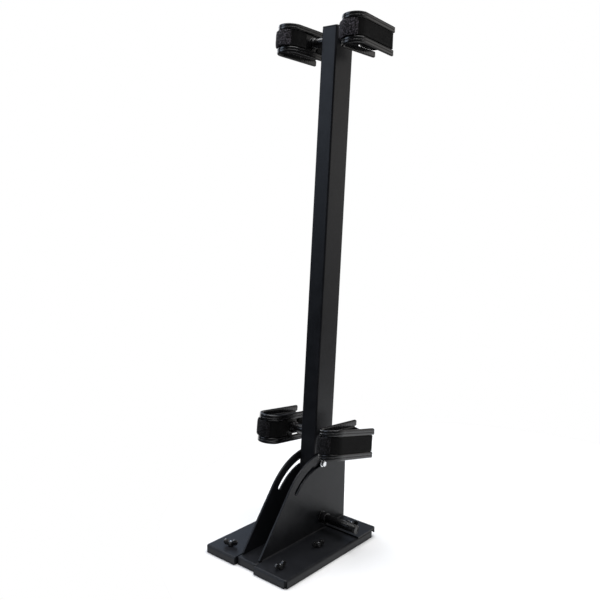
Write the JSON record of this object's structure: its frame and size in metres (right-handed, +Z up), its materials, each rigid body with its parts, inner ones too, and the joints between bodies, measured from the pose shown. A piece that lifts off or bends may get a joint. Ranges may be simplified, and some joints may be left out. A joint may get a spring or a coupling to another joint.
{
  "type": "tilting floor rack",
  "caption": "Upright steel post on a low floor base, tilting forward in slotted side plates, with pairs of strapped U cradles near its top and foot.",
  "frame": {"origin": "middle of the model's box, on the floor", "axes": "+Z up, the front (the cradles' round ends) faces -Y, the pivot axis lies along X and its handle stands out to +X"},
  "size_m": [0.1862, 0.263, 0.899],
  "materials": {
    "steel_paint": "black powder coat, fine satin texture",
    "cradle_rubber": "matte black moulded rubbery plastic",
    "strap_fabric": "black hook-and-loop webbing, brushed loop face",
    "black_hardware": "black oxide, slightly oily sheen",
    "handle_gloss": "glossy black",
    "cap_plastic": "matte black",
    "zinc": "bright zinc plate"
  },
  "bodies": {
    "base": {"foot_left": "steel_paint", "floor_plate_left": "steel_paint", "side_plate_left": "steel_paint", "foot_right": "steel_paint", "floor_plate_right": "steel_paint", "side_plate_right": "steel_paint", "center_channel": "steel_paint", "rear_cross_strip": "steel_paint", "pivot_bolt": "black_hardware", "pivot_bush": "zinc", "pivot_washer_left": "black_hardware", "pivot_washer_right": "black_hardware", "pivot_collar": "black_hardware"},
    "post": {"post_tube": "steel_paint", "post_cap": "cap_plastic", "clamp_washer_right": "zinc", "clamp_washer_left": "zinc", "clamp_nut": "zinc", "clamp_spacer": "zinc", "standoff_upper_right": "black_hardware", "cradle_washer_upper_right": "black_hardware", "standoff_upper_left": "black_hardware", "cradle_washer_upper_left": "black_hardware", "standoff_lower_right": "black_hardware", "cradle_washer_lower_right": "black_hardware", "standoff_lower_left": "black_hardware", "cradle_washer_lower_left": "black_hardware", "cross_bolt_upper": "black_hardware", "cross_nut_upper": "black_hardware", "cross_bolt_lower": "black_hardware", "cross_nut_lower": "black_hardware"},
    "handle": {"pivot_handle": "handle_gloss", "handle_end_cap": "handle_gloss"},
    "clamp_screw": {"clamp_bolt": "zinc"},
    "wing_left_1": {"wing_screw_left_1": "black_hardware"},
    "wing_left_2": {"wing_screw_left_2": "black_hardware"},
    "wing_left_3": {"wing_screw_left_3": "black_hardware"},
    "wing_right_1": {"wing_screw_right_1": "black_hardware"},
    "wing_right_2": {"wing_screw_right_2": "black_hardware"},
    "wing_right_3": {"wing_screw_right_3": "black_hardware"},
    "cradle_set_upper_right": {"cradle_upper_right": "cradle_rubber", "strap_upper_right": "strap_fabric"},
    "cradle_set_upper_left": {"cradle_upper_left": "cradle_rubber", "strap_upper_left": "strap_fabric"},
    "cradle_set_lower_right": {"cradle_lower_right": "cradle_rubber", "strap_lower_right": "strap_fabric"},
    "cradle_set_lower_left": {"cradle_lower_left": "cradle_rubber", "strap_lower_left": "strap_fabric"}
  },
  "joints": [
    {"name": "post_tilt", "type": "hinge", "parent": "base", "child": "post", "pos_m": [-0.00085, 0.0475, 0.03615], "axis": [1, 0, 0], "range_deg": [0, 46.6]},
    {"name": "handle_turn", "type": "hinge", "parent": "base", "child": "handle", "pos_m": [0.05915, 0.0475, 0.03615], "axis": [1, 0, 0], "continuous": true},
    {"name": "clamp_bolt_turn", "type": "hinge", "parent": "post", "child": "clamp_screw", "pos_m": [-0.00085, 0.04481, 0.13261], "axis": [1, 0, 0], "continuous": true},
    {"name": "wing_left_1_turn", "type": "hinge", "parent": "base", "child": "wing_left_1", "pos_m": [-0.05285, -0.1075, 0.016], "axis": [0, 0, 1], "continuous": true},
    {"name": "wing_left_2_turn", "type": "hinge", "parent": "base", "child": "wing_left_2", "pos_m": [-0.05285, -0.0095, 0.016], "axis": [0, 0, 1], "continuous": true},
    {"name": "wing_left_3_turn", "type": "hinge", "parent": "base", "child": "wing_left_3", "pos_m": [-0.05285, 0.0885, 0.016], "axis": [0, 0, 1], "continuous": true},
    {"name": "wing_right_1_turn", "type": "hinge", "parent": "base", "child": "wing_right_1", "pos_m": [0.05515, -0.1075, 0.016], "axis": [0, 0, 1], "continuous": true},
    {"name": "wing_right_2_turn", "type": "hinge", "parent": "base", "child": "wing_right_2", "pos_m": [0.05515, -0.0095, 0.016], "axis": [0, 0, 1], "continuous": true},
    {"name": "wing_right_3_turn", "type": "hinge", "parent": "base", "child": "wing_right_3", "pos_m": [0.05515, 0.0885, 0.016], "axis": [0, 0, 1], "continuous": true},
    {"name": "cradle_upper_right_swivel", "type": "hinge", "parent": "post", "child": "cradle_set_upper_right", "pos_m": [0.06605, 0.07633, 0.86989], "axis": [1, 0, 0], "range_deg": [-90, 90]},
    {"name": "cradle_upper_left_swivel", "type": "hinge", "parent": "post", "child": "cradle_set_upper_left", "pos_m": [-0.06775, 0.07633, 0.86989], "axis": [1, 0, 0], "range_deg": [-90, 90]},
    {"name": "cradle_lower_right_swivel", "type": "hinge", "parent": "post", "child": "cradle_set_lower_right", "pos_m": [0.06605, 0.04596, 0.18236], "axis": [1, 0, 0], "range_deg": [-90, 90]},
    {"name": "cradle_lower_left_swivel", "type": "hinge", "parent": "post", "child": "cradle_set_lower_left", "pos_m": [-0.06775, 0.04596, 0.18236], "axis": [1, 0, 0], "range_deg": [-90, 90]}
  ]
}
